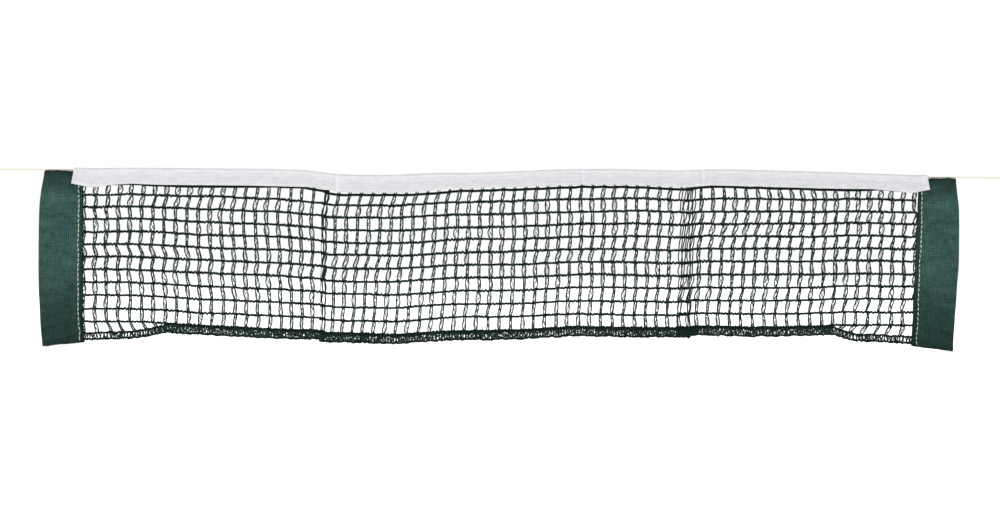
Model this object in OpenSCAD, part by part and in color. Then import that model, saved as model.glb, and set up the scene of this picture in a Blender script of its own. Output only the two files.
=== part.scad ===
// A table-tennis net. Knitted netting hangs between two cloth post sleeves, under a white tape
// that is folded over a cord. The cord slides in the tape and ends in a tied eye at each side.
// X runs along the net, Z is up, and Y is its thickness, with the front face towards -Y.
// The origin is midway along the net, level with the foot of the sleeves.

/* [Net] */
// Length over both post sleeves
net_length = 795; // [600:5:1830]
// Height of a post sleeve
net_height = 150; // [140:1:160]
// Distance between neighbouring chains
mesh_across = 9.7; // [7.5:0.1:12.5]
// Distance between neighbouring weft threads
mesh_down = 11.15; // [10.5:0.05:11.5]
// Number of weft threads below the border thread, which runs under the tape
weft_rows = 11; // [9:1:11]
// Thickness of a weft thread
weft_d = 1.4; // [1:0.1:1.5]
// Thickness of one chain strand
strand_d = 0.9; // [0.6:0.1:1]

/* [Post sleeves] */
// Width of a sleeve, from its open seam edge to its outer fold
sleeve_w = 39; // [36:0.5:50]
// Depth of the pocket that a post goes into
pocket_d = 11; // [10:0.5:14]
// Thickness of the sleeve cloth
cloth_t = 0.8; // [0.5:0.1:1]
// Distance of the seam from the sleeve's inner edge
seam_margin = 4.5; // [3:0.5:6]
// Length of one seam stitch
stitch_l = 2.6; // [2:0.1:3.5]

/* [Header tape] */
// Height of the folded tape
tape_h = 15; // [14:0.5:15]
// Thickness of the tape cloth
tape_t = 0.5; // [0.3:0.1:0.6]
// Length of tape that laps over each sleeve
tape_lap = 11.5; // [8:0.5:14]

/* [Cord] */
// Diameter of the cord
cord_d = 1.5; // [1:0.1:1.6]
// Free length between a sleeve and its knot
cord_tail = 42; // [40:1:120]
// Length of the tied eye beyond the knot
eye_l = 15; // [12:1:30]

/* [Hidden] */

half_l = net_length / 2;
seam_edge_x = half_l - sleeve_w;
seam_x = seam_edge_x + seam_margin;
clear = 0.05;

thread_sides = 6;
cord_sides = 8;
thread_stations = 30;
cord_stations = 76;

// The selvedge hangs one mesh below the last weft thread at the sleeves, and lies folded up
// against it in between. The fold turns over around this share of half the length.
selvedge_h = 7;
selvedge_d = 1.5;
selvedge_web = 0.7;
selvedge_drop = 9.2;
fold_share = 0.75;
fold_width = 0.06;

// Gap between the two cloth layers at the seam, where the netting's threads end. It clears the
// corners of the thickest thread.
seam_gap = max(weft_d, selvedge_d) / cos(180 / thread_sides) + 0.2;
thread_end_x = seam_edge_x + 0.6 * seam_margin;

// Height of the border thread along the net, as [share of half the length, height].
border_heights = [[-1, 138.2], [-0.80, 139.0], [-0.67, 137.8], [-0.54, 138.0], [-0.41, 136.0],
                  [-0.34, 132.4], [-0.25, 132.0], [-0.16, 133.0], [-0.08, 135.6], [0.04, 137.2],
                  [0.17, 139.3], [0.31, 139.3], [0.37, 138.4], [0.44, 139.4], [0.57, 139.8],
                  [0.70, 138.6], [0.82, 138.6], [1, 137.2]];
smoothing = 0.012;
first_gap = 0.89 * mesh_down;
netting_h = first_gap + (weft_rows - 1) * mesh_down;
end_lift = 4;

// How far the sleeve's outer fold lies inside its widest point, as [share of height, inset].
fold_insets = [[0, 3.5], [0.12, 1.8], [0.3, 0.4], [0.5, 0], [0.7, 0.3], [0.84, 1.5], [0.93, 3.3],
               [1, 5.2]];
sleeve_foot_rise = 3.4;
pocket_round = 1.3;

// Half the gap inside the tape. It clears the chains, and the sleeve's cloth beside the seam.
over_sleeve = cloth_t + 0.3;
tape_half_gap = max(weft_d / 2 + strand_d + 0.15, seam_gap / 2 + over_sleeve);
tape_over_border = 0.6;

// The cord's route: it passes just over the mouths of the sleeves and dips between them, as
// [share of half the length, dip].
cord_z = net_height + cord_d / 2 + clear;
cord_route = [[-0.75, 0], [-0.65, 1.2], [-0.55, 3.2], [-0.46, 4.6], [-0.25, 4.6], [-0.04, 4.6],
              [0.1, 4], [0.25, 3], [0.4, 1.8], [0.55, 0.8], [0.75, 0]];
knot_x = half_l + cord_tail;
knot_l = 6;
knot_d = 4.4;
eye_w = 5;

sleeve_green = [0.10, 0.24, 0.21];
yarn_green = [0.04, 0.13, 0.11];
tape_white = [0.90, 0.89, 0.92];
cord_cream = [0.93, 0.90, 0.78];
seam_cream = [0.70, 0.72, 0.60];

// ---- heights along the net ----

// The table's value at x, averaged over a short reach so that it has no corners.
function smooth(x, table, reach) =
    let (n = 4)
    [for (i = [-n : n]) lookup(x + i * reach, table)] * [for (i = [-n : n]) 1] / (2 * n + 1);

function border_z(x) = smooth(x / half_l, border_heights, smoothing);

function netting_drop(x) = netting_h - end_lift * pow(abs(x) / half_l, 4);

function row_share(row) = row == 0 ? 0 : (first_gap + (row - 1) * mesh_down) / netting_h;

function row_z(x, row) = border_z(x) - netting_drop(x) * row_share(row);

function tape_top_z(x) = border_z(x) + tape_over_border + tape_h;

// 0 where the selvedge is folded up, and 1 where it hangs free beside a sleeve.
function unfolded(x) =
    let (t = min(1, max(0, (abs(x) / half_l - fold_share) / fold_width)))
    t * t * (3 - 2 * t);

function selvedge_top_z(x) =
    row_z(x, weft_rows) - weft_d / 2 - selvedge_d / 2 - clear - selvedge_drop * unfolded(x);

function cord_path(x) = [x, 0, cord_z - smooth(x / half_l, cord_route, smoothing)];

// ---- swept and lofted solids ----

function unit(v) = v / norm(v);

function tangent(path, i) =
    unit(path[min(i + 1, len(path) - 1)] - path[max(i - 1, 0)]);

// A ring of points round path[i]. side is any vector that the path never runs along.
function ring(path, i, radius, sides, side) =
    let (t = tangent(path, i), u = unit(cross(t, side)), v = cross(u, t))
    [for (k = [0 : sides - 1])
        let (a = 360 * (k + 0.5) / sides)
        path[i] + radius / cos(180 / sides) * (cos(a) * u + sin(a) * v)];

// A round tube along a path, with flat ends.
module tube(path, diameter, sides, side = [0, 1, 0]) {
    n = len(path);
    points = [for (i = [0 : n - 1]) each ring(path, i, diameter / 2, sides, side)];
    walls = [for (i = [0 : n - 2], k = [0 : sides - 1])
        let (a = i * sides + k, b = i * sides + (k + 1) % sides)
        each [[a, b, a + sides], [b, b + sides, a + sides]]];
    ends = [[for (k = [sides - 1 : -1 : 0]) k], [for (k = [0 : sides - 1]) (n - 1) * sides + k]];
    polyhedron(points, concat(walls, ends));
}

// A sheet with thickness: outer[i] and inner[i] are matching rows of points, one pair a station.
module sheet(outer, inner) {
    n = len(outer);
    m = len(outer[0]);
    points = [for (i = [0 : n - 1]) each concat(outer[i], inner[i])];
    s = 2 * m;
    faces = [
        for (i = [0 : n - 2], k = [0 : m - 2])
            let (a = i * s + k, b = a + 1, c = a + m, d = b + m)
            each [[a, b, a + s], [b, b + s, a + s], [c, c + s, d], [d, c + s, d + s]],
        for (i = [0 : n - 2])
            let (a = i * s, b = a + m - 1)
            each [[a, a + s, a + m], [a + m, a + s, a + m + s],
                  [b, b + m, b + s], [b + m, b + m + s, b + s]],
        for (k = [0 : m - 2])
            let (a = k, e = (n - 1) * s + k)
            each [[a, a + m, a + 1], [a + 1, a + m, a + m + 1],
                  [e, e + 1, e + m], [e + 1, e + m + 1, e + m]]];
    polyhedron(points, faces);
}

function spread(from, to, n) = [for (i = [0 : n]) from + (to - from) * i / n];

// ---- post sleeves ----

function fold_x(v) = half_l - lookup(v, fold_insets);

// Half the gap between the two layers, at u from 0 at the seam to 1 at the outer fold.
function half_gap(u) =
    u <= 0 ? seam_gap / 2
           : seam_gap / 2 + (pocket_d - seam_gap) / 2 * pow(sin(180 * min(u, 1)), pocket_round);

// One cross-section of the cloth at share v of the height: from the front seam edge, round the
// outer fold and back to the rear seam edge. extra is 0 on the inside and cloth_t outside.
function sleeve_row(v, extra) =
    let (us = [0.08, 0.2, 0.35, 0.5, 0.65, 0.8, 0.91, 0.97],
         w = fold_x(v) - seam_x - cloth_t,
         front = concat([[seam_edge_x, seam_gap / 2], [seam_x, seam_gap / 2]],
                        [for (u = us) [seam_x + w * u, half_gap(u)]]),
         height = function(x)
             let (foot = sleeve_foot_rise * (fold_x(0) + extra - cloth_t - x) / sleeve_w)
             foot + (net_height - foot) * v)
    concat([for (p = front) [p.x, -p.y - extra, height(p.x)]],
           [[seam_x + w + extra, 0, height(seam_x + w)]],
           [for (i = [len(front) - 1 : -1 : 0])
               let (p = front[i]) [p.x, p.y + extra, height(p.x)]]);

module sleeve() {
    shares = [0, 0.06, 0.14, 0.28, 0.45, 0.62, 0.76, 0.86, 0.93, 1];
    color(sleeve_green)
        sheet([for (v = shares) sleeve_row(v, cloth_t)], [for (v = shares) sleeve_row(v, 0)]);
}

// Two rows of stitches along the seam, one on each face of the sleeve.
module seam_stitches() {
    pitch = 1.6 * stitch_l;
    bottom = sleeve_foot_rise + 1;
    count = floor((border_z(seam_x) - 3 - bottom) / pitch);
    d = 0.7;
    color(seam_cream)
        for (face = [-1, 1], i = [0 : count - 1])
            translate([seam_x - 0.6, face * (seam_gap / 2 + cloth_t + d / 2 + clear),
                       bottom + i * pitch])
                cylinder(h = stitch_l, d = d, $fn = 16);
}

// ---- header tape ----

// The tape opens towards its ends to pass outside the sleeve.
function tape_gap(x) =
    max(tape_half_gap, half_gap((abs(x) + 1 - seam_x) / (fold_x(0.95) - seam_x)) + over_sleeve);

// One cross-section at x: front bottom edge, over the top fold, rear bottom edge.
function tape_row(x, extra) =
    let (g = tape_gap(x) + extra,
         top = tape_top_z(x) - tape_t + extra,
         bottom = tape_top_z(x) - tape_h)
    [[x, -g, bottom], [x, -g, (top + bottom) / 2], [x, -g, top - 1.2], [x, -0.7 * g, top - 0.3],
     [x, 0, top], [x, 0.7 * g, top - 0.3], [x, g, top - 1.2], [x, g, (top + bottom) / 2],
     [x, g, bottom]];

module header_tape() {
    end_x = seam_edge_x + tape_lap;
    inner_x = seam_edge_x - 8;
    ends = [for (i = [0 : 5]) inner_x + (end_x - inner_x) * i / 5];
    xs = concat([for (i = [5 : -1 : 1]) -ends[i]], spread(-inner_x, inner_x, thread_stations),
                [for (i = [1 : 5]) ends[i]]);
    color(tape_white)
        sheet([for (x = xs) tape_row(x, tape_t)], [for (x = xs) tape_row(x, 0)]);
}

function chain_count() = floor(2 * (seam_edge_x - 0.4 * mesh_across) / mesh_across) + 1;

function chain_x(i) = (i - (chain_count() - 1) / 2) * mesh_across;

// One row of stitches near the tape's lower edge, one stitch between each pair of chains.
module tape_stitches(face) {
    d = 0.5;
    length = 0.55 * mesh_across;
    rise = 2;
    color(tape_white)
        for (i = [1 : chain_count() - 3]) {
            a = chain_x(i) + (mesh_across - length) / 2;
            slope = atan2(border_z(a + length) - border_z(a), length);
            translate([a, face * (tape_half_gap + tape_t + d / 2 + clear),
                       tape_top_z(a) - tape_h + rise])
                rotate([0, 90 - slope, 0])
                    cylinder(h = length, d = d, $fn = 16);
        }
}

// ---- netting ----

// Stations along the threads and the selvedge, closer together where the selvedge's fold turns.
function thread_xs() =
    let (turn = fold_share * half_l, past = (fold_share + fold_width) * half_l)
    without_repeats(concat(spread(-thread_end_x, -past, 3), spread(-past, -turn, 6),
                           spread(-turn, turn, thread_stations), spread(turn, past, 6),
                           spread(past, thread_end_x, 3)));

function without_repeats(xs) = [for (i = [0 : len(xs) - 1]) if (i == 0 || xs[i] > xs[i - 1]) xs[i]];

function row_path(row) = [for (x = thread_xs()) [x, 0, row_z(x, row)]];

module border_thread() {
    color(yarn_green) tube(row_path(0), weft_d, thread_sides);
}

module weft_threads() {
    color(yarn_green)
        for (row = [1 : weft_rows])
            tube(row_path(row), weft_d, thread_sides);
}

// One strand of each chain, on one face of the weft threads. The chains rise a little way
// into the tape, and reach down to the selvedge where it hangs free.
module chains(face) {
    into_tape = 2;
    side_step = 0.9;
    y = face * (weft_d / 2 + strand_d / 2 + clear);
    color(yarn_green)
        for (i = [0 : chain_count() - 1]) {
            x = chain_x(i);
            bottom = selvedge_top_z(x) + selvedge_d / 2 + clear;
            translate([x + face * side_step, y, bottom])
                cylinder(h = border_z(x) + into_tape - bottom, d = strand_d, $fn = 16);
        }
}

// ---- selvedge ----

// A cord along the selvedge, drop below its upper edge.
module selvedge_cord(drop) {
    color(yarn_green)
        tube([for (x = thread_xs()) [x, 0, selvedge_top_z(x) - drop]],
             selvedge_d, thread_sides);
}

// The knitted web between the two cords. It clears them where they slope, too.
module selvedge_lacing() {
    edge = selvedge_d / 2 + 0.3;
    low = selvedge_h - selvedge_d - edge;
    rows = function(y)
        [for (x = thread_xs())
            let (z = selvedge_top_z(x))
            [[x, y, z - edge], [x, y, z - (edge + low) / 2], [x, y, z - low]]];
    color(yarn_green)
        sheet(rows(selvedge_web / 2), rows(-selvedge_web / 2));
}

// ---- cord ----

module tension_cord() {
    color(cord_cream)
        tube([for (x = spread(-knot_x, knot_x, cord_stations)) cord_path(x)], cord_d, cord_sides);
}

// The knot is a short barrel with rounded shoulders, round the cord.
module knot() {
    r = knot_d / 2;
    shoulder = 1;
    color(cord_cream)
        translate([knot_x, 0, cord_z])
            rotate([0, 90, 0])
                rotate_extrude($fn = 48)
                    polygon([[0, 0], [r - shoulder, 0], [r, shoulder], [r, knot_l - shoulder],
                             [r - shoulder, knot_l], [0, knot_l]]);
}

// The eye is one teardrop-shaped turn of cord that leaves the knot and comes back to it.
module eye() {
    turn = [for (t = [16 : 16.4 : 344])
        [knot_x + knot_l - 2.2 + eye_l * sin(t / 2), 0, cord_z + eye_w * sin(t)]];
    color(cord_cream) tube(turn, cord_d, cord_sides);
}

// ---- the nodes ----

mirror([1, 0, 0]) sleeve();  // left_sleeve
sleeve();  // right_sleeve
mirror([1, 0, 0]) seam_stitches();  // left_seam_stitches
seam_stitches();  // right_seam_stitches
header_tape();
tape_stitches(-1);  // tape_stitches_front
tape_stitches(1);  // tape_stitches_back
border_thread();
weft_threads();
chains(-1);  // chains_front
chains(1);  // chains_back
selvedge_cord(0);  // selvedge_upper_cord
selvedge_cord(selvedge_h - selvedge_d);  // selvedge_lower_cord
selvedge_lacing();
tension_cord();
mirror([1, 0, 0]) knot();  // left_knot
mirror([1, 0, 0]) eye();  // left_eye
knot();  // right_knot
eye();  // right_eye
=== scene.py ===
"""A table-tennis net: two cloth post sleeves, knitted netting, a header tape and its sliding cord.

Shapes are worked out in millimetres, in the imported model's frame: X along the net, Z up, and -Y
out of the front face. The netting has its own two coordinates: u counts the chains from the left
and v counts the weft threads from the border thread down.
"""

import math

import bpy
import numpy as np
from mathutils import Matrix, Vector


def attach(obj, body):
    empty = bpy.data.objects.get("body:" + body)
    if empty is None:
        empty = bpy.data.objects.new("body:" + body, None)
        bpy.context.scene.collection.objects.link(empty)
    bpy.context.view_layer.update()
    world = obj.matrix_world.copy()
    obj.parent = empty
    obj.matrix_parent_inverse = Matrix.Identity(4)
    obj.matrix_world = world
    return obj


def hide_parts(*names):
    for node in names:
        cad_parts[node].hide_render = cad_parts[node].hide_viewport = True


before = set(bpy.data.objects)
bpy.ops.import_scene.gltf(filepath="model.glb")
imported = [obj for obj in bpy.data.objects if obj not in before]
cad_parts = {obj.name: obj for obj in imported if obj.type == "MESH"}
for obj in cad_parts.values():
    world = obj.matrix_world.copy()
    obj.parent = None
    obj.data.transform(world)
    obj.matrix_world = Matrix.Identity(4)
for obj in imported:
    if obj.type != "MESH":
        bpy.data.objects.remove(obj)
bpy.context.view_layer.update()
SCENE = bpy.context.scene
MM = 0.001

# ---------------------------------------------------------------- camera

CAMERA_AZIMUTH = math.radians(-2.07)
CAMERA_ROLL = math.radians(0.406)
CAMERA_DISTANCE = 1.7
CAMERA_HEIGHT = 0.077
CAMERA_LENS = 70.83
CAMERA_SHIFT = -0.0032


def add_camera():
    """A level camera in front of the net, turned and rolled a little."""
    sine, cosine = math.sin(CAMERA_AZIMUTH), math.cos(CAMERA_AZIMUTH)
    forward = Vector((-sine, cosine, 0))
    up = Vector((0, 0, 1))
    right = forward.cross(up)
    rolled_right = right * math.cos(CAMERA_ROLL) + up * math.sin(CAMERA_ROLL)
    rolled_up = up * math.cos(CAMERA_ROLL) - right * math.sin(CAMERA_ROLL)
    turn = Matrix((rolled_right, rolled_up, -forward)).transposed().to_4x4()
    place = Vector((CAMERA_DISTANCE * sine, -CAMERA_DISTANCE * cosine, CAMERA_HEIGHT))
    data = bpy.data.cameras.new("camera")
    data.sensor_width = 36
    data.lens = CAMERA_LENS
    data.shift_x = CAMERA_SHIFT
    camera = bpy.data.objects.new("camera", data)
    SCENE.collection.objects.link(camera)
    camera.matrix_world = Matrix.Translation(place) @ turn
    SCENE.camera = camera


add_camera()

# ---------------------------------------------------------------- shapes


def smooth(table, at, reach=0.0):
    """A table's value at each place, averaged over a reach so that it has no corners."""
    places, values = np.array(table, float).T
    steps = np.linspace(-reach, reach, 9)
    return np.mean([np.interp(np.asarray(at) + step, places, values) for step in steps], axis=0)


def eased(t):
    """0 below 0, 1 above 1, and a smooth rise in between."""
    t = np.clip(t, 0, 1)
    return t * t * (3 - 2 * t)


def wander(at, spacing, size, seed):
    """A smooth random curve that takes a new value, up to size, every spacing."""
    count = 4096
    knots = np.random.default_rng(seed).uniform(-1, 1, count)
    place = np.asarray(at, float) / spacing + count / 2
    low = np.floor(place).astype(int)
    t = eased(place - low)
    return size * (knots[low % count] * (1 - t) + knots[(low + 1) % count] * t)


def unit(vectors):
    return vectors / np.linalg.norm(vectors, axis=-1, keepdims=True)


def cross_axes(paths):
    """Two directions across each path at each of its stations. No path may run along Y."""
    along = unit(np.gradient(paths, axis=-2))
    first = unit(np.cross(along, [0.0, 1.0, 0.0]))
    return first, np.cross(first, along)


def travelled_along(paths):
    """How far along its path each station is."""
    steps = np.linalg.norm(np.diff(paths, axis=-2), axis=-1)
    return np.concatenate([np.zeros(steps.shape[:-1] + (1,)), np.cumsum(steps, axis=-1)], axis=-1)


def wound(path, offset, pitch, phase):
    """The path of a strand that winds round another path."""
    first, second = cross_axes(path)
    angle = (2 * math.pi * travelled_along(path) / pitch + phase)[..., None]
    return path + offset * (np.cos(angle) * first + np.sin(angle) * second)


def tube_faces(count, stations, sides):
    """The walls and end caps of tubes whose points run by tube, then station, then side."""
    side = np.arange(sides)
    after = (side + 1) % sides
    tube_start = np.arange(count)[:, None, None] * stations * sides
    ring = tube_start + np.arange(stations - 1)[None, :, None] * sides
    corners = [ring + side, ring + sides + side, ring + sides + after, ring + after]
    walls = np.stack(np.broadcast_arrays(*corners), -1).reshape(-1, 4)
    start_caps = tube_start[:, 0] + side
    end_caps = start_caps[:, ::-1] + (stations - 1) * sides
    return walls.tolist() + start_caps.tolist() + end_caps.tolist()


def tubes(paths, radius, sides=5):
    """Round tubes along paths, an array of (tube, station, xyz), as (points, faces)."""
    paths = np.asarray(paths, float)
    count, stations = paths.shape[:2]
    first, second = cross_axes(paths)
    radii = np.broadcast_to(radius, (count, stations))[..., None, None]
    angles = (np.arange(sides) + 0.5) * 2 * math.pi / sides
    around = np.cos(angles)[:, None] * first[:, :, None] + np.sin(angles)[:, None] * second[:, :, None]
    points = (paths[:, :, None] + radii * around).reshape(-1, 3)
    return points, tube_faces(count, stations, sides)


def cross_tubes(paths, radius, sides=5):
    """Tubes along paths that run in the plane of Y and Z, with their rings set up from X."""
    swapped = paths[..., [1, 0, 2]]
    points, faces = tubes(swapped, radius, sides)
    return points[:, [1, 0, 2]], [face[::-1] for face in faces]


def coil_tube(path, radius, sides=5):
    """A thin tube along a coiling path, with its rings turned as little as possible."""
    along = unit(np.gradient(path, axis=0))
    first = np.zeros_like(along)
    first[0] = unit(np.cross(along[0], [0.3, 0.2, 0.9]))
    for k in range(1, len(path)):
        first[k] = unit(first[k - 1] - along[k] * np.dot(first[k - 1], along[k]))
    second = np.cross(first, along)
    angles = np.arange(sides) * 2 * math.pi / sides
    around = np.cos(angles)[:, None] * first[:, None] + np.sin(angles)[:, None] * second[:, None]
    points = (path[:, None] + radius * around).reshape(-1, 3)
    return points, tube_faces(1, len(path), sides)


def plied(path, strand_r, offset, pitch, plies=2, sides=5, phase=0.0):
    """A twisted yarn or cord along one path."""
    turns = [wound(path, offset, pitch, phase + 2 * math.pi * k / plies) for k in range(plies)]
    return tubes(np.array(turns), strand_r, sides)


def grid(points):
    """A sheet through an array of (row, column, xyz)."""
    rows, columns = points.shape[:2]
    corner = np.arange(rows - 1)[:, None] * columns + np.arange(columns - 1)
    faces = np.stack([corner, corner + 1, corner + columns + 1, corner + columns], -1)
    return points.reshape(-1, 3), faces.reshape(-1, 4).tolist()


def joined(shapes):
    """Several shapes as one."""
    points, faces, start = [], [], 0
    for shape_points, shape_faces in shapes:
        points.append(shape_points)
        faces += [[corner + start for corner in face] for face in shape_faces]
        start += len(shape_points)
    return np.concatenate(points), faces


def add_piece(name, shape, finish, body="net", replaced=(), cloth=None, shade=None):
    """A mesh piece that rides on a body and takes the place of some CAD nodes.

    cloth holds each point's place on its flat cloth, and shade how much its colour is darkened or
    lightened there: painted shade and painted highlight, and on the tape also its rows of threads.
    """
    points, faces = shape
    mesh = bpy.data.meshes.new(name)
    mesh.from_pydata((points * MM).tolist(), [], faces)
    mesh.polygons.foreach_set("use_smooth", [True] * len(mesh.polygons))
    if cloth is not None:
        flat = mesh.attributes.new("cloth", "FLOAT_VECTOR", "POINT")
        flat.data.foreach_set("vector", (cloth * MM).astype(np.float32).ravel())
        shade_layer = mesh.attributes.new("shade", "FLOAT", "POINT")
        shade_layer.data.foreach_set("value", shade.astype(np.float32).ravel())
    mesh.materials.append(FINISHES[finish])
    piece = bpy.data.objects.new(name, mesh)
    SCENE.collection.objects.link(piece)
    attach(piece, body)
    if replaced:
        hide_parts(*replaced)
    return piece


# ---------------------------------------------------------------- materials


def add_node(tree, kind, inputs=None, **settings):
    """A shader node. An input is a value, or another node's output."""
    node = tree.nodes.new(kind)
    for key, value in settings.items():
        setattr(node, key, value)
    for key, value in (inputs or {}).items():
        if isinstance(value, bpy.types.NodeSocket):
            tree.links.new(value, node.inputs[key])
        else:
            node.inputs[key].default_value = value
    return node


def place_of(tree, scale, cloth=False):
    """Coordinates in metres times scale: on the flat cloth, or in the part's own frame."""
    if cloth:
        source = add_node(tree, "ShaderNodeAttribute", attribute_name="cloth").outputs["Vector"]
    else:
        source = add_node(tree, "ShaderNodeTexCoord").outputs["Object"]
    inputs = {"Vector": source, "Scale": scale}
    return add_node(tree, "ShaderNodeMapping", inputs).outputs["Vector"]


def noise_of(tree, scale, cloth=False, detail=3.0):
    """Noise whose grain is 1 metre divided by scale along each axis."""
    inputs = {"Vector": place_of(tree, scale, cloth), "Scale": 1.0, "Detail": detail}
    return add_node(tree, "ShaderNodeTexNoise", inputs).outputs["Fac"]


def thread_lines(tree, axis, pitch, distortion):
    """Rows of threads across the flat cloth, pitch metres apart."""
    inputs = {
        "Vector": place_of(tree, (1, 1, 1), cloth=True),
        "Scale": 2 * math.pi / (20 * pitch),
        "Distortion": distortion,
        "Detail": 1.0,
        "Detail Scale": 2.0,
    }
    node = add_node(tree, "ShaderNodeTexWave", inputs, wave_type="BANDS", bands_direction=axis)
    return node.outputs["Fac"]


def combined(tree, operation, a, b):
    """One step of arithmetic on two values."""
    return add_node(tree, "ShaderNodeMath", {0: a, 1: b}, operation=operation).outputs[0]


def blended(tree, parts):
    """The sum of several values, each times its share."""
    shares = [combined(tree, "MULTIPLY", value, share) for value, share in parts]
    total = shares[0]
    for part in shares[1:]:
        total = combined(tree, "ADD", total, part)
    return total


def ramp(tree, value, low, high, color_low, color_high):
    """A colour between two, as value goes from low to high."""
    share = add_node(
        tree, "ShaderNodeMapRange", {"Value": value, "From Min": low, "From Max": high}
    ).outputs["Result"]
    inputs = {0: share, 6: (*color_low, 1), 7: (*color_high, 1)}
    return add_node(tree, "ShaderNodeMix", inputs, data_type="RGBA").outputs[2]


def shaded(tree, color):
    """The colour times the cloth's shade attribute: painted shade and painted highlight, and on the tape
    also its rows of threads.
    """
    shade = add_node(tree, "ShaderNodeAttribute", attribute_name="shade").outputs["Fac"]
    inputs = {0: 1.0, 6: color, 7: shade}
    return add_node(tree, "ShaderNodeMix", inputs, data_type="RGBA", blend_type="MULTIPLY").outputs[2]


def new_material(name, roughness, specular):
    """A material with its shader ready: returns the material, its tree and the shader."""
    material = bpy.data.materials.new(name)
    material.use_nodes = True
    tree = material.node_tree
    shader = tree.nodes["Principled BSDF"]
    shader.inputs["Roughness"].default_value = roughness
    shader.inputs["Specular IOR Level"].default_value = specular
    return material, tree, shader


def finish_with(tree, shader, color, height, depth):
    """Wires a colour, and a bump of depth metres, into the shader."""
    tree.links.new(color, shader.inputs["Base Color"])
    bump = add_node(tree, "ShaderNodeBump", {"Height": height, "Distance": depth, "Strength": 1.0})
    tree.links.new(bump.outputs["Normal"], shader.inputs["Normal"])


def spun_material(name, dark, light, grain, roughness, specular, sheen):
    """Spun fibre: fine flecks, slow changes of its dye, and a fibrous bump."""
    material, tree, shader = new_material(name, roughness, specular)
    fibre = noise_of(tree, (grain, grain, grain), detail=4.0)
    patch = noise_of(tree, (grain / 40, grain / 40, grain / 40), detail=2.0)
    color = ramp(tree, blended(tree, [(fibre, 0.6), (patch, 0.4)]), 0.35, 0.65, dark, light)
    finish_with(tree, shader, color, fibre, 0.00012)
    shader.inputs["Sheen Weight"].default_value = sheen
    return material


SLEEVE_RIB_PITCH = 0.00173
SLEEVE_WEFT_PITCH = 0.0007
SLEEVE_GREENS = ((0.010, 0.036, 0.030), (0.050, 0.104, 0.092))
TAPE_LINE_PITCH = 0.0011
TAPE_CROSS_PITCH = 0.0008
TAPE_TWILL_PITCH = 0.0006
TAPE_WHITES = ((0.50, 0.498, 0.522), (0.665, 0.665, 0.68))


def sleeve_material(name):
    """A heavy woven cloth: ribs up the sleeve, short slubs, and threads across."""
    material, tree, shader = new_material(name, 0.95, 0.12)
    rib = thread_lines(tree, "X", SLEEVE_RIB_PITCH, 0.8)
    weft = thread_lines(tree, "Y", SLEEVE_WEFT_PITCH, 0.8)
    streak = noise_of(tree, (1100, 90, 1), cloth=True, detail=2.0)
    slub = noise_of(tree, (130, 900, 1), cloth=True, detail=2.0)
    fleck = noise_of(tree, (1500, 1500, 1), cloth=True, detail=2.0)
    patch = noise_of(tree, (28, 110, 1), cloth=True, detail=2.0)
    parts = [(rib, 0.09), (weft, 0.04), (streak, 0.22), (slub, 0.27), (fleck, 0.14), (patch, 0.24)]
    color = ramp(tree, blended(tree, parts), 0.41, 0.59, *SLEEVE_GREENS)
    height = blended(tree, [(rib, 0.5), (weft, 1.0), (streak, 0.9)])
    finish_with(tree, shader, shaded(tree, color), height, 0.00010)
    return material


def tape_material(name):
    """White twill tape: fine lines along it, faint cross threads, streaks and flecks."""
    material, tree, shader = new_material(name, 0.85, 0.2)
    line = thread_lines(tree, "Y", TAPE_LINE_PITCH, 0.6)
    fine = thread_lines(tree, "X", TAPE_CROSS_PITCH, 0.4)
    twill = thread_lines(tree, "DIAGONAL", TAPE_TWILL_PITCH, 0.3)
    streak = noise_of(tree, (60, 900, 1), cloth=True, detail=3.0)
    patch = noise_of(tree, (160, 260, 1), cloth=True, detail=2.0)
    fleck = noise_of(tree, (700, 700, 1), cloth=True, detail=2.0)
    parts = [(line, 0.18), (fine, 0.06), (twill, 0.06), (streak, 0.3), (patch, 0.2), (fleck, 0.2)]
    color = ramp(tree, blended(tree, parts), 0.38, 0.62, *TAPE_WHITES)
    height = blended(tree, [(line, 0.6), (twill, 1.0), (fine, 1.0)])
    finish_with(tree, shader, shaded(tree, color), height, 0.00006)
    return material


# Each spun finish: its dark and light colours, flecks to the metre, roughness, specular and sheen.
SPUN = {
    "net_yarn": ((0.002, 0.006, 0.005), (0.008, 0.020, 0.017), 1800, 0.9, 0.06, 0.0),
    "chain_yarn": ((0.005, 0.015, 0.012), (0.026, 0.053, 0.045), 1800, 0.9, 0.06, 0.0),
    "cord_yarn": ((0.60, 0.59, 0.43), (0.74, 0.735, 0.58), 1600, 0.9, 0.2, 0.1),
    "seam_thread": ((0.28, 0.34, 0.27), (0.60, 0.68, 0.56), 1600, 0.8, 0.2, 0.0),
    "tape_thread": ((0.50, 0.50, 0.52), (0.60, 0.60, 0.61), 1600, 0.8, 0.2, 0.0),
}
FINISHES = {"sleeve_cloth": sleeve_material("sleeve_cloth"), "tape_cloth": tape_material("tape_cloth")}
for finish, looks in SPUN.items():
    FINISHES[finish] = spun_material(finish, *looks)

# ---------------------------------------------------------------- cord

# The cord's route repeats part.scad's: its height, and how far it dips along half the length.
HALF_L = 0.3975
CORD_Z = 0.1508
CORD_DIPS = [(-0.75, 0), (-0.65, 0.0012), (-0.55, 0.0032), (-0.46, 0.0046), (-0.25, 0.0046),
             (-0.04, 0.0046), (0.1, 0.004), (0.25, 0.003), (0.4, 0.0018), (0.55, 0.0008), (0.75, 0)]
CORD_D = 0.0015
KNOT_X = 0.4395
KNOT_L = 0.006
EYE_L = 0.015
EYE_W = 0.005
TAPE_END = 0.371

# How far the eye starts inside the knot.
EYE_INSET = 0.0022

CORD_STRAND_R = 0.39
CORD_STRAND_OFFSET = 0.36
CORD_PITCH = 5.2
WRAP_TURNS = 3.6
WRAP_R = 1.5
WRAP_SIDES = 8


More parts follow.
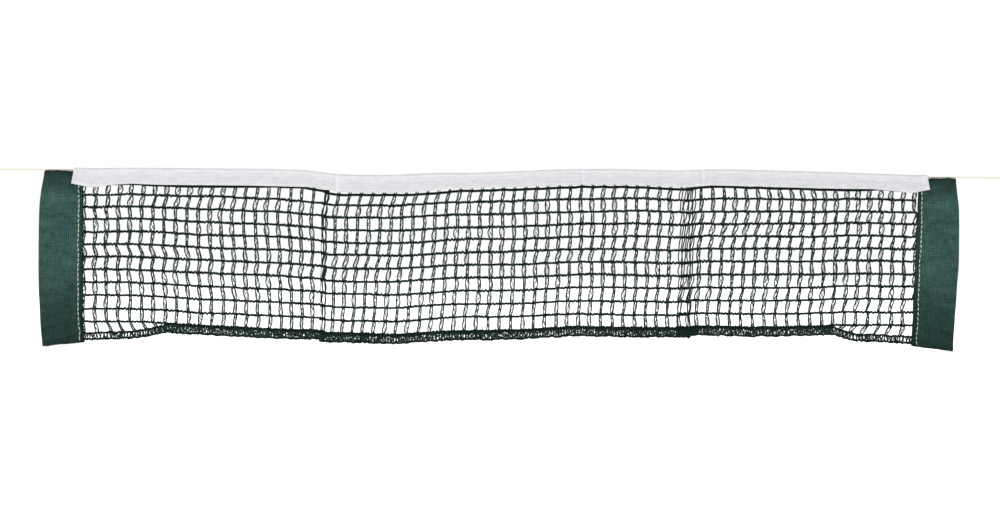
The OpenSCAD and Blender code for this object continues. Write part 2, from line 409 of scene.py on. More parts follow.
def cord_path(start, end, count):
    """Stations of the cord's centreline, in millimetres."""
    x = np.linspace(start, end, count)
    dip = smooth(CORD_DIPS, x / HALF_L, 0.048)
    return np.stack([x, 0 * x, CORD_Z - dip], -1) / MM


def laid(path):
    """Three-strand cord along one path."""
    return plied(path, CORD_STRAND_R, CORD_STRAND_OFFSET, CORD_PITCH, plies=3, sides=6)


def helix_turns(sign):
    """The knot's wraps: a tight coil of the cord's own tail round its standing part."""
    t = np.linspace(0, 1, 80)
    angle = 2 * math.pi * WRAP_TURNS * t
    x = KNOT_X / MM + 0.9 + (KNOT_L / MM - 1.8) * t
    reach = WRAP_R * (1 + 0.12 * np.sin(math.pi * t))
    return np.stack([sign * x, reach * np.cos(angle), CORD_Z / MM + reach * np.sin(angle)], -1)


def eye_turn(sign):
    """The eye: one teardrop turn of cord that leaves the knot and comes back to it."""
    t = np.radians(np.linspace(9, 351, 90))
    x = (KNOT_X + KNOT_L - EYE_INSET + EYE_L * np.sin(t / 2)) / MM
    z = (CORD_Z + EYE_W * np.sin(t)) / MM
    return np.stack([sign * x, 0 * t, z], -1)


def cut_tail(sign):
    """The cord's short end, left over from the knot, which lies back towards the sleeve."""
    t = np.linspace(0, 1, 20)
    x = KNOT_X / MM + 1.2 - 4.5 * t
    return np.stack([sign * x, -1.5 - 0.8 * t, CORD_Z / MM - 1.2 - 1.6 * t * t], -1)


def plain_wraps(sign):
    """The knot's wraps as a tube whose rings are set up from the coil's own centre.

    The surface has three shallow lobes that turn along it, like the cord's three strands.
    """
    path = helix_turns(sign)
    along = unit(np.gradient(path, axis=0))
    out = path - np.stack([path[:, 0], 0 * path[:, 0], 0 * path[:, 0] + CORD_Z / MM], -1)
    first = unit(np.cross(along, unit(out)))
    second = np.cross(first, along)
    angles = (np.arange(WRAP_SIDES) + 0.5) * 2 * math.pi / WRAP_SIDES
    twist = np.linspace(0, 50, len(path))[:, None]
    radius = CORD_D / 2 / MM * (1 + 0.05 * np.cos(3 * angles - twist))
    around = np.cos(angles)[:, None] * first[:, None] + np.sin(angles)[:, None] * second[:, None]
    points = (path[:, None] + radius[..., None] * around).reshape(-1, 3)
    return points, tube_faces(1, len(path), WRAP_SIDES)


def add_cord():
    """The cord in three lengths, and at each end its knot and its eye."""
    inner = cord_path(-TAPE_END, TAPE_END, 900)
    add_piece("cord_in_tape", laid(inner), "cord_yarn", "cord", ["tension_cord"])
    # Each free tail ends inside its knot.
    free = KNOT_X + 0.7 * KNOT_L - TAPE_END
    for side, sign in (("left", -1), ("right", 1)):
        path = cord_path(sign * TAPE_END, sign * (TAPE_END + free), 90)
        tail = add_piece(f"{side}_cord_tail", laid(path), "cord_yarn", "cord", ["tension_cord"])
        wraps = joined([plain_wraps(sign), laid(cut_tail(sign))])
        knot = add_piece(f"{side}_knot_wraps", wraps, "cord_yarn", "cord", [f"{side}_knot"])
        eye = add_piece(f"{side}_eye_loop", laid(eye_turn(sign)), "cord_yarn", "cord", [f"{side}_eye"])


add_cord()

# ---------------------------------------------------------------- netting

WALES = 76
ROWS = 11
MIDDLE = (WALES - 1) / 2
# The usual distance between two chains.
WALE_PITCH = 9.7
# The chains, and one more at each end, half hidden by a sleeve's margin.
CHAINS = np.arange(-1, WALES + 1)
# The chains inside the pressed pleats, whose hitches and cores are squeezed flat and left out.
PLEATED = [20, 21, 53, 54, 55, 56]

# Where each chain hangs, as (chain, X). The chains double back at two pressed pleats.
WALE_X = [(-1.3, -363), (0, -350.5), (19, -165.8), (20, -154.8), (20.3, -153.6), (20.6, -158),
          (21, -154.2), (22, -145.2), (53, 155.2), (54, 162.4), (54.25, 164.6), (55, 159.6),
          (55.2, 158.8), (56, 166), (57, 172.3), (75, 349), (76.3, 362)]
# How much further the second pleat's folds reach at the foot of the netting than at its top.
PLEAT_SPREAD = [(52, 0), (53, 1.5), (54.3, 2), (55.2, -5), (56, 0)]
# How far the pleats' layers stand behind or in front of each other, as (chain, Y).
FOLD_Y = [(15, 0), (19, 1.2), (20.3, 1.9), (20.6, -1.9), (22, -1.2), (27, 0),
          (48, 0), (52, -1.2), (54, -1.9), (55.2, 1.9), (57, 1.2), (62, 0)]
# Heights of the border thread and of the first and last weft thread, as (chain, Z).
BORDER_Z = [(0, 139.5), (3, 139), (6, 137.5), (14, 138), (17, 137.7), (18, 137.2), (19, 135.4),
            (20.7, 132.7), (22, 130.9), (28, 131.2), (33, 135.4), (38, 137.3), (44, 140), (49, 140),
            (53, 138.5), (55, 138.5), (56, 139.5), (58, 141.5), (62, 140.5), (67, 139.5), (70, 139),
            (73, 140), (75, 139)]
FIRST_Z = [(0, 129.5), (3, 130.5), (6, 129.5), (13, 128), (16, 127.5), (19, 125), (22, 122.5),
           (27, 122.5), (33, 126), (38, 127), (44, 129.5), (49, 130.5), (53, 129), (55, 128.5),
           (56, 129.5), (58, 130.5), (62, 131), (67, 130.5), (70, 131.5), (73, 131.5), (75, 130.5)]
LAST_Z = [(0, 21), (3, 21), (6, 20), (9, 17.5), (14, 16), (19, 14.5), (22, 12), (28, 11), (33, 15),
          (38, 15.5), (44, 19), (49, 18), (53, 18), (55, 18.5), (57, 20), (62, 19.5), (67, 20.5),
          (70, 22), (75, 22)]
# How much higher the middle weft threads hang than an even spacing puts them.
ROW_BOW = 1.1
# How far, in chains, the tables of the pleats and of the hem are rounded off.
PLEAT_REACH = 0.12
HEM_REACH = 0.3

# How far the chains lean sideways at some rows, at these chains.
LEAN_WALES = [-1, 4, 11, 16, 26, 32, 38, 44, 49, 61, 66, 71, 76]
LEANS = {
    0: [0, 2.5, 2.5, 2.2, 3.9, 1.8, -0.2, -0.3, -0.9, -0.3, -1.7, -1.3, -1.5],
    1: [0, 2.5, 2.5, 1.4, 0.1, -1.5, -2, -1.9, -1.8, -0.5, -0.1, -1.2, -1.5],
    2.5: [0, 0.5, 0, 0.5, 0, -1, -0.5, 0, 0, 0, -0.5, -1, 0],
    5: [0, 0, 2, 2.5, -1.5, -2.5, -1, -1, -2, -2.5, -1.5, -0.5, 0],
    7.5: [0, 1, 2, 3, -3, -2, -1, -1, -1, -3.5, -2.5, -1.5, 0],
    10.2: [0, 1.5, 3.5, 4.5, -5.5, -4.5, -3, -2.5, -2.5, -5.5, -3.5, -3, 0],
}
# How far the chains slant within each row of cells: at the left, the middle and the right.
SLANT_WALES = [3, 26, 58]
SLANTS = [(0, 0.3, 0), (0.5, 0.3, 0.5), (-0.5, 0, 1), (0, 0, 0.7), (0.3, 0.2, 0.7), (-1.5, 1, 0.5),
          (1.2, 0.5, 0), (-0.5, 0, 0.5), (-0.5, -0.3, 1), (0.5, 0, 0.7), (0, 0.3, 0), (0, 0, 0)]

# The selvedge hangs free near the sleeves and lies folded up against the last weft thread
# between them: heights of its cords from that thread, and how far its edge leans towards the
# middle, by distance from the middle chain.
FOLD_START = 31
UPPER_DROP = [(31, -1.2), (32, -2.6), (32.8, -4.7), (33.5, -6.8), (34.5, -8.3), (35.5, -9), (38.5, -10)]
LOWER_DROP = [(31, -7.2), (32, -7.8), (32.8, -10.3), (33.5, -12.5), (34.5, -13.4), (35.5, -14.1),
              (38.5, -15.2)]
HEM_LEAN = [(30.5, 0), (31.5, 2), (33.5, 5), (36.5, 5), (37.5, 2.7), (38.5, 0.5)]

# How much wider the first row of cells' chains open, by distance from the middle chain.
FIRST_OPEN = [(24, 0), (28, 1.6), (40, 1.6)]

# The plied yarns: each strand's radius, how far it stands off the yarn's middle, the length of
# one twist, and the length between two stations.
WEFT_STRAND_R = 0.62
WEFT_OFFSET = 0.47
WEFT_PITCH = 4.8
WEFT_CRIMP = 0.46
BORDER_STRAND_R = 0.76
BORDER_OFFSET = 0.6
YARN_STEP = 0.35


def tents(v, knots):
    """Weights of each knot at v, for joining the knots' values by straight lines."""
    place = np.interp(v, knots, np.arange(len(knots)))
    return [np.clip(1 - np.abs(place - k), 0, 1) for k in range(len(knots))]


def free_share(u):
    """0 where the selvedge is folded up, and 1 where it hangs free."""
    return eased((np.abs(u - MIDDLE) - FOLD_START) / 2)


def net_point(u, v):
    """Where the netting is at chain u and row v, in millimetres. Row 12 is the selvedge's edge."""
    u, v = np.broadcast_arrays(np.asarray(u, float), np.asarray(v, float))
    below = np.clip(v - ROWS, 0, 1)
    slack = 1 - free_share(u)

    # Sideways: the chains' places, their lean, the pleat's spread and the hem's lean.
    rows = sorted(LEANS)
    leans = [smooth(list(zip(LEAN_WALES, LEANS[row])), u, 1.0) for row in rows]
    x = smooth(WALE_X, u, PLEAT_REACH) + sum(w * lean for w, lean in zip(tents(v, rows), leans))
    x = x + smooth(PLEAT_SPREAD, u, PLEAT_REACH) * np.clip(v / ROWS, 0, 1) ** 2
    x = x - np.sign(u - MIDDLE) * smooth(HEM_LEAN, np.abs(u - MIDDLE), HEM_REACH) * below

    # Height: between the border thread, the first and the last weft thread, then down the selvedge.
    border, first, last = (smooth(table, u, 0.6) for table in (BORDER_Z, FIRST_Z, LAST_Z))
    share = (np.clip(v, 1, ROWS) - 1) / (ROWS - 1)
    z = first + (last - first) * share + ROW_BOW * np.sin(math.pi * share)
    z = z + (border - first) * (1 - np.clip(v, 0, 1))
    for row, weight in enumerate(tents(v, range(ROWS + 1))):
        z = z + weight * (wander(u, 5, 0.4, row) + wander(u, 0.9, 0.28, 40 + row))
    z = z + smooth(UPPER_DROP, np.abs(u - MIDDLE), HEM_REACH) * below
    z = z - 2 * slack * np.sin(math.pi * below)

    # Depth: the pleats, slow waves that die out at the sleeves, and the selvedge folded up behind.
    ends = eased((MIDDLE - np.abs(u - MIDDLE)) / 4)
    y = smooth(FOLD_Y, u, PLEAT_REACH) * (0.55 + 0.45 * np.clip(v / 2, 0, 1))
    y = y + ends * wander(u, 13, 1.4, 90) * np.clip(v / ROWS, 0, 1)
    y = y + slack * 4 * np.sin(math.pi * below) - 1.3 * slack * eased(below * 2 - 1)
    return np.stack([x, y, z], -1)


def add_wefts():
    """The border thread, which the tape is sewn over, and the weft threads below it."""
    u = np.arange(-1.15, WALES + 0.15, YARN_STEP / WALE_PITCH)
    border = plied(net_point(u, 0), BORDER_STRAND_R, BORDER_OFFSET, WEFT_PITCH)
    add_piece("border_yarn", border, "net_yarn", replaced=["border_thread"])
    for row in range(1, ROWS + 1):
        path = net_point(u, row)
        crimp = WEFT_CRIMP * (1 + wander(u, 0.7, 0.7, 240 + row))
        path[:, 2] += crimp * np.sin(7 * math.pi * u + 2 * row + wander(u, 1.5, 2, 260 + row))
        yarn = plied(path, WEFT_STRAND_R, WEFT_OFFSET, WEFT_PITCH, phase=row)
        add_piece(f"weft_yarn_{row:02d}", yarn, "net_yarn", replaced=["weft_threads"])


# Each chain: stations to a cell, its two strands' radius, how far they stand in front of and behind
# the weft threads, and how far each is from the chain's middle where the two are closest. Then the
# radius and number of the thin strands in its core, and the radius of its hitches.
CELL_STATIONS = 12
CHAIN_R = 0.57
CHAIN_DEPTH = 1.3
CHAIN_NEAR = 0.75
CORE_R = 0.28
CORES = 3
HITCH_R = 0.42
# Where the first pleat's pressed edge is, in chains.
PLEAT_EDGE = 20.6


def add_chains():
    """The chains: two strands that swap places at every weft thread, round thin core strands."""
    rng = np.random.default_rng(11)
    cells = ROWS + 1
    v = np.arange(0, cells * CELL_STATIONS + 1) / CELL_STATIONS
    cell = np.minimum(v.astype(int), cells - 1)
    t = v - cell
    u = CHAINS[:, None]
    middle = net_point(u, v)

    each = (len(CHAINS), cells)
    width = rng.uniform(0, 2.2, each) * rng.uniform(0.6, 1.4, cells)
    width[:, 0] += smooth(FIRST_OPEN, np.abs(CHAINS - MIDDLE), 1)
    skew = rng.uniform(0.7, 1.45, each)
    uneven = rng.uniform(-0.45, 0.45, each)
    drift = rng.uniform(-0.5, 0.5, each)

    bulge = np.sin(math.pi * t ** skew[:, cell]) ** 0.9
    slants = []
    for k, row in enumerate(SLANTS):
        slants.append(smooth(list(zip(SLANT_WALES, row)), u, 3) + wander(u, 6, 0.6, 200 + k))
    slant = np.concatenate(slants, axis=1)[:, cell]
    shift = drift[:, cell] * np.sin(math.pi * t) + slant * np.cos(math.pi * t)
    for name, side, node in (("a", -1, "chains_front"), ("b", 1, "chains_back")):
        path = middle.copy()
        reach = width[:, cell] / 2 * (1 + side * uneven[:, cell]) * bulge
        path[..., 0] += shift + side * (CHAIN_NEAR + reach)
        path[..., 1] += side * CHAIN_DEPTH * np.cos(math.pi * v)
        add_piece(f"chain_strands_{name}", tubes(path, CHAIN_R), "chain_yarn", replaced=[node])
    unpleated = ~np.isin(CHAINS, PLEATED)
    for k in range(CORES):
        core = middle.copy()
        curl = np.sin(2 * math.pi * v + 2.1 * k + wander(v + 17 * u, 1.3, 2.5, 220 + k))
        core[..., 0] += shift + (0.5 + 0.35 * width[:, cell] * bulge) * curl
        core[..., 1] += 0.5 * np.cos(2 * math.pi * v + 1.6 * k)
        add_piece(f"chain_core_{k + 1}", tubes(core[unpleated], CORE_R, 4), "chain_yarn")


def add_pleat_strand():
    """The one loose strand that shows along the first pleat's pressed edge."""
    v = np.linspace(1.3, ROWS + 0.8, 120)
    path = net_point(PLEAT_EDGE + 0 * v, v)
    path[:, 0] += wander(v, 0.6, 0.3, 230)
    add_piece("pleat_strand", tubes(path[None], CORE_R), "chain_yarn")


def add_crossings():
    """A short hitch of each chain over each weft thread, and two over the border thread."""
    t = np.linspace(-1, 1, 7)
    rng = np.random.default_rng(12)
    u, v = np.meshgrid(np.setdiff1d(CHAINS, PLEATED), np.arange(1, ROWS + 1))
    centre = net_point(u.ravel(), v.ravel())[:, None]
    count = len(centre)
    slant = rng.uniform(0.5, 1.1, (count, 1)) * rng.choice([-1, 1], (count, 1))
    reach = rng.uniform(1.0, 1.6, (count, 1))
    face = np.where(rng.random((count, 1)) < 0.8, -1, 1)
    hitch = np.stack([slant * t, face * (1.4 - 0.9 * t ** 2), -reach * t], -1)
    hitches = tubes(centre + hitch, HITCH_R)

    angle = np.radians(np.linspace(-115, 115, 11))
    loops = 2 * len(CHAINS)
    over = net_point(np.repeat(CHAINS, 2), 0)[:, None]
    beside = np.tile([-0.8, 0.8], len(CHAINS))[:, None] + rng.uniform(-0.2, 0.2, (loops, 1))
    rise = rng.uniform(1.9, 2.4, (loops, 1))
    arc = (beside + 0.25 * angle, 1.2 * np.sin(angle), rise * np.cos(angle))
    loop = np.stack(np.broadcast_arrays(*arc), -1)
    add_piece("chain_hitches", hitches, "chain_yarn")
    add_piece("border_loops", cross_tubes(over + loop, HITCH_R), "net_yarn")


LACE_PITCH = 2.3
LACE_R = 0.44
LACES = 4
SELVEDGE_STRAND_R = 0.62
SELVEDGE_OFFSET = 0.52
SELVEDGE_PITCH = 4.6
# The strands that fill the folded stretch: their places between the selvedge's two cords.
FOLD_SHARES = (0.35, 0.68)
FOLD_R = 0.52


def selvedge_point(u, share):
    """A point on the selvedge: share is 0 at its upper cord and 1 at its lower one."""
    edge = net_point(u, ROWS + 1)
    from_middle = np.abs(u - MIDDLE)
    upper, lower = (smooth(table, from_middle, HEM_REACH) for table in (UPPER_DROP, LOWER_DROP))
    edge[..., 2] += (lower - upper) * share
    twist = np.exp(-(((from_middle - 32.3) / 1.3) ** 2))
    edge[..., 1] += (share - 0.5) * 3 * twist
    return edge


def add_selvedge():
    """The selvedge: two plied cords, zigzag strands that lace them, and strands in its fold."""
    u = np.arange(-1.1, WALES + 0.1, YARN_STEP / WALE_PITCH)
    for name, share in (("upper", 0), ("lower", 1)):
        path = selvedge_point(u, share)
        path[:, 2] += wander(u, 0.2, 0.6, 65 + share)
        cord = plied(path, SELVEDGE_STRAND_R, SELVEDGE_OFFSET, SELVEDGE_PITCH, phase=share)
        add_piece(f"selvedge_{name}_yarn", cord, "net_yarn", replaced=[f"selvedge_{name}_cord"])
    u = np.arange(-1.0, WALES, LACE_PITCH / WALE_PITCH / 6)
    travelled = u * WALE_PITCH / LACE_PITCH
    laces = []
    for k in range(LACES):
        turn = math.pi * (travelled + 2 * k / LACES) + wander(travelled, 3, 1.1, 60 + k)
        wave = np.sin(turn)
        swing = 1.1 + wander(travelled, 2, 0.2, 70 + k)
        share = 0.5 + 0.5 * np.sign(wave) * np.abs(wave) ** 0.8 * swing
        path = selvedge_point(u, share)
        path[..., 0] += wander(travelled, 1.5, 0.6, 80 + k)
        path[..., 1] += 0.8 * np.cos(turn)
        laces.append(path)
    lace = tubes(np.array(laces), LACE_R)
    add_piece("selvedge_lace", lace, "chain_yarn", replaced=["selvedge_lacing"])

    u = np.arange(MIDDLE - 32, MIDDLE + 32, 0.04)
    folds = []
    for k, share in enumerate(FOLD_SHARES):
        path = selvedge_point(u, share + wander(u, 0.14, 0.2, 92 + k))
        path[:, 1] += 0.9 + wander(u, 0.2, 0.5, 97 + k)
        folds.append(path)
    add_piece("selvedge_fold", tubes(np.array(folds), FOLD_R), "chain_yarn")


add_wefts()
add_chains()
add_pleat_strand()
add_crossings()
add_selvedge()

# ---------------------------------------------------------------- post sleeves

NET_H = 150
CLOTH_T = 0.8
# Half the distance between the sleeve's layers at its seam, how much more the pocket bulges, and
# how gently the bulge starts.
SEAM_HALF = 1.35
POCKET_RISE = 4.1
POCKET_ROUND = 1.3
# The share of the pocket's width where its outer fold starts to close.
FOLD_CLOSES = 0.955

# Outer fold, inner edge and seam of each sleeve, as (height, distance from the middle), and
# how much higher its foot is at the inner edge.
SLEEVES = {
    "left": {
        "sign": -1,
        "foot": 3.6,
        "outer": [(0, 394), (7, 395), (17, 396), (37, 397), (50, 398), (100, 398), (120, 397.5),
                  (130, 396.5), (140, 395), (150, 393)],
        "inner": [(0, 359), (20, 360.5), (150, 361.3)],
        "seam": [(0, 362.5), (40, 364), (80, 364.5), (110, 363.8), (150, 364.3)],
    },
    "right": {
        "sign": 1,
        "foot": 4.4,
        "outer": [(0, 392.5), (11, 392.5), (21, 393.5), (32, 394), (42, 395), (63, 396), (74, 397),
                  (105, 397), (126, 396.5), (136, 395), (150, 393.5)],
        "inner": [(0, 356.5), (80, 359.5), (130, 361.5), (150, 361.5)],
        "seam": [(0, 360), (50, 361.5), (100, 363.5), (150, 364)],
    },
}
# Painted shade on the sleeves, by height: darker towards the foot and the top.
SLEEVE_PAINTED_SHADE = [(0, 0.4), (6, 0.44), (20, 0.55), (30, 0.6), (38, 0.68), (52, 0.78), (62, 0.95), (85, 1),
                (112, 1), (118, 0.88), (124, 1.05), (132, 0.98), (138, 0.56), (147, 0.46), (150, 0.28)]
# The seam's stitches, and the threads whipped over the cloth's ends and over the margin.
STITCH_PITCH = 4.2
STITCH_BOTTOM = 6.5
STITCH_TOP = 142
STITCH_R = 0.42
OVERCAST_R = 0.27
OVERCAST_PITCH = 1.25
MARGIN_OVERCAST_R = 0.3
MARGIN_OVERCAST_PITCH = 3.1
OVERCAST_STEP = 0.16


def sleeve_lines(side, height):
    """The inner edge, the seam and the outer fold at some heights."""
    lines = SLEEVES[side]
    inner = smooth(lines["inner"], height, 4) + wander(height, 9, 0.35, 70)
    seam = smooth(lines["seam"], height, 8) + wander(height, 11, 0.45, 71)
    outer = smooth(lines["outer"], height, 6) + wander(height, 25, 0.2, 72)
    return inner, seam, outer


def cloth_half(side, x, height):
    """Half the distance between the sleeve's two layers, at distance x from the net's middle."""
    inner, seam, outer = sleeve_lines(side, height)
    u = np.clip((x - seam) / (outer - seam), 0, 1)
    half = SEAM_HALF + POCKET_RISE * np.sin(math.pi * np.minimum(u, 0.999)) ** POCKET_ROUND
    margin = np.clip((seam - x) / (seam - inner), 0, 1)
    half = half + 0.45 * np.sin(math.pi * margin) ** 2
    closing = np.clip((u - FOLD_CLOSES) / (1 - FOLD_CLOSES), 0, 1)
    return half * np.sqrt(1 - closing**2)


def sleeve_sheet(side):
    """The sleeve's middle surface, its flat cloth and its painted shade, from one inner edge to the
    other.
    """
    rows, columns = 120, 46
    v = np.linspace(0, 1, rows)[:, None]
    across = np.linspace(0, 1, columns)
    across = 1 - (1 - across) ** 1.5
    height = v * NET_H + 0 * across
    inner, seam, outer = sleeve_lines(side, height)
    x = inner + (outer - inner) * across
    half = cloth_half(side, x, height)
    foot = SLEEVES[side]["foot"] * (outer - x) / (outer - inner)
    top = NET_H - 0.6 + 0.25 * np.sin(x / 5) + wander(x, 3, 0.2, 73)
    z = foot + (top - foot) * v + 0.35 * wander(x, 6, 1, 74) * (1 - v) ** 6
    layers = []
    for face in (-1, 1):
        drape = wander(x, 7, 0.35, 75 + face) + wander(z, 24, 0.4, 78 + face)
        drape = drape + wander(x + z / 3, 11, 0.25, 81 + face)
        drape = drape * eased((x - seam) / 5) * eased((outer - x) / 3)
        pucker = 0.16 * np.cos(2 * math.pi * z / STITCH_PITCH) * np.exp(-np.abs(x - seam) / 1.6)
        y = face * (half + drape + pucker)
        layers.append(np.stack([SLEEVES[side]["sign"] * x, y, z], -1))
    points = np.concatenate([layers[0], layers[1][:, -2::-1]], axis=1)
    run = travelled_along(points)
    flat = np.stack([run, points[..., 2], 0 * run], -1).reshape(-1, 3)
    # Painted shade: darker towards the foot and the top, and in a band beside the seam.
    painted_seam_shade = np.exp(-(((x - seam + 1.6) / 1.3) ** 2))
    shade = smooth(SLEEVE_PAINTED_SHADE, z, 3) * (1 - 0.4 * painted_seam_shade)
    return points, flat, np.concatenate([shade, shade[:, -2::-1]], axis=1)


def seam_stitches(side):
    """A row of lock stitches on each face of the seam, each dipping into the cloth at its ends."""
    rng = np.random.default_rng(21 if side == "left" else 22)
    s = np.linspace(-1, 1, 9)
    paths = []
    for face in (-1, 1):
        for z in np.arange(STITCH_BOTTOM, STITCH_TOP, STITCH_PITCH):
            half_l = rng.uniform(1.35, 2.0)
            slant = rng.uniform(-0.45, 0.45)
            _, seam, _ = sleeve_lines(side, z)
            proud = SEAM_HALF + CLOTH_T / 2 - 0.15 + 0.5 * (1 - s**2)
            x = SLEEVES[side]["sign"] * (seam + slant * s)
            paths.append(np.stack(np.broadcast_arrays(x, face * proud, z + half_l * s), -1))
    return tubes(np.array(paths), STITCH_R * (1 - 0.35 * s**2), 7)


def edge_overcast(points):
    """A dark thread whipped over a cut edge of the cloth."""
    run = travelled_along(points)
    fine = np.arange(0, run[-1], OVERCAST_STEP)
    line = np.stack([np.interp(fine, run, points[:, k]) for k in range(3)], -1)
    along = unit(np.gradient(line, axis=0))
    out = np.cross(along, [0.0, 0.0, 1.0])
    angle = 2 * math.pi * fine / OVERCAST_PITCH + wander(fine, 4, 1.2, 83)
    # The coil is narrower near the net's middle plane, where the cord passes over it.
    swing = (0.58 + wander(fine, 2, 0.12, 84)) * (0.2 + 0.8 * eased(np.abs(line[:, 1]) / 2.2))
    turn = np.cos(angle)[:, None] * out + np.sin(angle)[:, None] * [0, 0, 1.0]
    return coil_tube(line + swing[:, None] * turn, OVERCAST_R)


def margin_overcast(side):
    """A dark thread whipped over the margin's two cut edges together."""
    z = np.arange(4.5, 134, OVERCAST_STEP)
    inner, _, _ = sleeve_lines(side, z)
    angle = 2 * math.pi * z / MARGIN_OVERCAST_PITCH + wander(z, 9, 2.2, 85)
    x = inner + 0.75 + (1.05 + wander(z, 5, 0.25, 86)) * np.cos(angle)
    y = (SEAM_HALF + CLOTH_T / 2 + 0.75) * np.sin(angle)
    return coil_tube(np.stack([SLEEVES[side]["sign"] * x, y, z], -1), MARGIN_OVERCAST_R)


def thicken(piece, thickness):
    """Gives a sheet its cloth's thickness, half to each side."""
    modifier = piece.modifiers.new("thickness", "SOLIDIFY")
    modifier.thickness = thickness * MM
    modifier.offset = 0
    modifier.use_even_offset = True


def add_sleeves():
    for side in SLEEVES:
        points, flat, shade = sleeve_sheet(side)
        cloth = add_piece(f"{side}_sleeve_cloth", grid(points), "sleeve_cloth",
                          replaced=[f"{side}_sleeve"], cloth=flat, shade=shade)
        thicken(cloth, CLOTH_T)
        edges = joined([edge_overcast(points[0]), edge_overcast(points[-1]), margin_overcast(side)])
        edging = add_piece(f"{side}_sleeve_edging", edges, "net_yarn")
        stitches = add_piece(f"{side}_seam_thread", seam_stitches(side), "seam_thread",
                             replaced=[f"{side}_seam_stitches"])


add_sleeves()

# ---------------------------------------------------------------- header tape

TAPE_T = 0.5
# Heights of the tape's top and of its front lower edge, as (X, Z).
TAPE_TOP = [(-371, 153), (-366, 152.7), (-360, 152.4), (-345, 152.4), (-320, 153), (-205, 153),
            (-178, 152.5), (-165, 151.5), (-153, 150), (-141, 149), (-128, 148.5), (-105, 148.5),
            (-90, 149), (-75, 150), (-55, 151), (-30, 151),
            (-8, 152), (15, 153), (40, 154.5), (55, 155), (80, 155.5), (105, 155.5), (130, 155),
            (152, 154.5), (166, 155.5), (180, 156), (205, 156), (230, 155.5), (290, 154.5), (340, 153),
            (361, 152.4), (366, 152.6), (371, 153.4)]
TAPE_BOTTOM = [(-371, 139.3), (-357, 136.3), (-350, 136), (-337, 138), (-320, 139.3), (-296, 138.5),
               (-220, 138.5), (-178, 137.8), (-165, 137.6), (-155, 136), (-144, 133.9), (-130, 133.3),
               (-90, 133.5), (-64, 135.3), (-38, 137.6), (14, 139.4), (40, 140.6), (66, 141.7),
               (118, 141.9), (150, 140.5), (160, 140.4), (168, 140.8), (178, 142), (222, 141.4),
               (275, 140.2), (320, 140), (330, 139), (345, 138), (354, 136.6), (371, 140)]
# Upright creases across the tape, as (X, how deep). How deep also sets how strong each crease's painted
# highlight and painted shade are.
TAPE_CREASES = [(-143, 1), (69, 0.5), (173, 0.8)]
# How light the tape is, by share of its height: lighter and darker rows of threads, a painted highlight
# just above the lower edge, and painted shade along the lower edge and the top fold.
TAPE_SHADE = [(0, 0.92), (0.04, 1.02), (0.1, 1.1), (0.15, 1.02), (0.2, 0.98), (0.55, 0.96),
              (0.62, 1.04), (0.78, 1.02), (0.85, 1.1), (0.9, 1.05), (0.95, 0.96), (0.98, 0.9), (1, 0.85)]
# Half the distance between the tape's layers, by share of its height.
TAPE_HALF = [(0, 2.1), (0.25, 1.85), (0.6, 1.45), (1, 1.35)]
# The share of the tape's height where its fold starts to round off.
TAPE_ROUND = 0.84
TAPE_ENDS = (-369.8, 370.3)
TAPE_STEP = 0.9
# How far from the middle the tape starts to open round the sleeves, and over what length.
TAPE_OPENS = 340
TAPE_OPENING = 16
TAPE_STITCHED = (-346, 340)
TAPE_STITCH_HALF = 2.5
TAPE_STITCH_R = 0.22


def tape_half(x, share, height):
    """Half the distance between the tape's two layers. It opens to pass outside the sleeves."""
    half = smooth(TAPE_HALF, share, 0.08) + 0 * x
    for side, lines in SLEEVES.items():
        out = lines["sign"] * x
        over = cloth_half(side, np.maximum(out, 355), np.minimum(height, NET_H))
        over = over + CLOTH_T / 2 + TAPE_T / 2 + 0.25
        half = np.maximum(half, over * eased((out - TAPE_OPENS) / TAPE_OPENING))
    return half


def tape_sheet():
    """The tape's middle surface, flat cloth and shade (its rows of threads, with painted highlight and
    painted shade), from its front lower edge to its back one.
    """
    x = np.arange(*TAPE_ENDS, TAPE_STEP)[:, None]
    rounded = 1 - TAPE_ROUND
    bend = np.cos(np.linspace(0, math.pi / 2, 7))[1:]
    share = np.concatenate([np.linspace(0, TAPE_ROUND, 19), 1 - rounded * bend])
    top = smooth(TAPE_TOP, x, 6) - TAPE_T / 2
    layers = []
    for face in (-1, 1):
        # The back layer ends a little higher than the front one.
        bottom = smooth(TAPE_BOTTOM, x, 3) + (face + 1) * (wander(x, 30, 0.25, 31) + 0.3)
        end_slant = np.sign(x) * eased((np.abs(x) - 330) / 40) * (0.6 - 2.6 * share)
        height = bottom + (top - bottom) * share
        half = tape_half(x, share, height)
        wave = wander(x, 17, 0.28, 32 + face) + wander(x, 6, 0.12, 35 + face) + 0 * share
        crease = sum(size * np.exp(-(((x - at) / 1.3) ** 2)) for at, size in TAPE_CREASES) + 0 * share
        stitched = np.exp(-(((share - 0.2) / 0.06) ** 2))
        dimple = 0.22 * stitched * (0.5 + 0.5 * np.cos(2 * math.pi * x / WALE_PITCH))
        round_off = np.sqrt(1 - np.clip((share - TAPE_ROUND) / rounded, 0, 1) ** 2)
        y = face * (half + (wave + crease - dimple) * np.clip(3 * (1 - share), 0, 1)) * round_off
        layers.append(np.stack([x + end_slant, y, height], -1))
    points = np.concatenate([layers[0], layers[1][:, -2::-1]], axis=1)
    run = travelled_along(points)
    flat = np.stack([points[..., 0], run, 0 * run], -1).reshape(-1, 3)
    # Rows of threads, with a painted highlight just above the lower edge and painted shade along the
    # lower edges and the top fold.
    shade = smooth(TAPE_SHADE, share, 0.015) + 0 * x
    # Painted highlight along each crease, and painted shade in a thin line to its left.
    for at, size in TAPE_CREASES:
        painted_crease_highlight = 0.15 * np.exp(-(((x - at) / 1.3) ** 2))
        painted_crease_shade = 0.08 * np.exp(-(((x - at + 2.6) / 0.7) ** 2))
        shade = shade + size * (painted_crease_highlight - painted_crease_shade)
    return points, flat, np.concatenate([shade, shade[:, -2::-1]], axis=1)


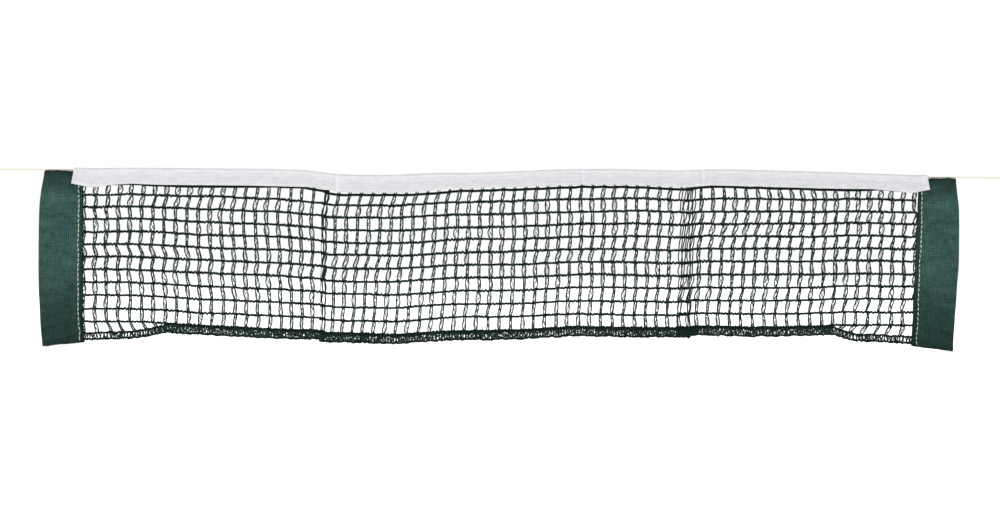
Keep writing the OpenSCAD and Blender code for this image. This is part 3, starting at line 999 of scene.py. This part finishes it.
def tape_stitch_row(face, sheet_points):
    """Lock stitches along the tape's lower part, one between each pair of chains."""
    line = sheet_points[:, 3 if face < 0 else -4]
    s = np.linspace(-1, 1, 9)
    paths = []
    for start in np.arange(*TAPE_STITCHED, WALE_PITCH):
        x = start + WALE_PITCH / 2 + TAPE_STITCH_HALF * s
        y = np.interp(x, line[:, 0], line[:, 1]) + face * (TAPE_T / 2 - 0.1 + 0.25 * (1 - s**2))
        paths.append(np.stack([x, y, np.interp(x, line[:, 0], line[:, 2])], -1))
    return tubes(np.array(paths), TAPE_STITCH_R, 6)


def add_tape():
    points, flat, shade = tape_sheet()
    tape = add_piece("header_tape_cloth", grid(points), "tape_cloth", replaced=["header_tape"],
                     cloth=flat, shade=shade)
    thicken(tape, TAPE_T)
    for name, face in (("front", -1), ("back", 1)):
        thread = add_piece(f"tape_thread_{name}", tape_stitch_row(face, points), "tape_thread",
                           replaced=[f"tape_stitches_{name}"])


add_tape()

# ---------------------------------------------------------------- stage and light

FLOOR_HALF = 6
FLOOR_Z = -0.001
LIGHTS_AIM = Vector((0, 0, 0.08))


def add_floor():
    """A plain pale floor under the net."""
    mesh = bpy.data.meshes.new("floor")
    corners = ((-1, -1), (1, -1), (1, 1), (-1, 1))
    points = [(FLOOR_HALF * x, FLOOR_HALF * y, FLOOR_Z) for x, y in corners]
    mesh.from_pydata(points, [], [(0, 1, 2, 3)])
    material, _, shader = new_material("floor", 1.0, 0.0)
    shader.inputs["Base Color"].default_value = (0.8, 0.8, 0.8, 1)
    shader.inputs["Emission Color"].default_value = (1, 1, 1, 1)
    shader.inputs["Emission Strength"].default_value = 0.5
    mesh.materials.append(material)
    floor = bpy.data.objects.new("floor", mesh)
    SCENE.collection.objects.link(floor)


def add_softbox(name, place, size, power):
    """A square area light that faces the net's middle."""
    data = bpy.data.lights.new(name, "AREA")
    data.size = size
    data.energy = power
    light = bpy.data.objects.new(name, data)
    SCENE.collection.objects.link(light)
    light.location = place
    light.rotation_euler = (LIGHTS_AIM - Vector(place)).to_track_quat("-Z", "Y").to_euler()


def add_world():
    world = bpy.data.worlds.new("studio")
    world.use_nodes = True
    background = world.node_tree.nodes["Background"]
    background.inputs["Color"].default_value = (1, 1, 1, 1)
    background.inputs["Strength"].default_value = 1.0
    SCENE.world = world
    SCENE.view_settings.view_transform = "Standard"
    SCENE.view_settings.look = "None"


add_floor()
add_world()
add_softbox("key_light", (-1.0, -1.6, 1.6), 1.2, 14)
add_softbox("back_light", (0.9, 1.8, 1.4), 1.2, 8)
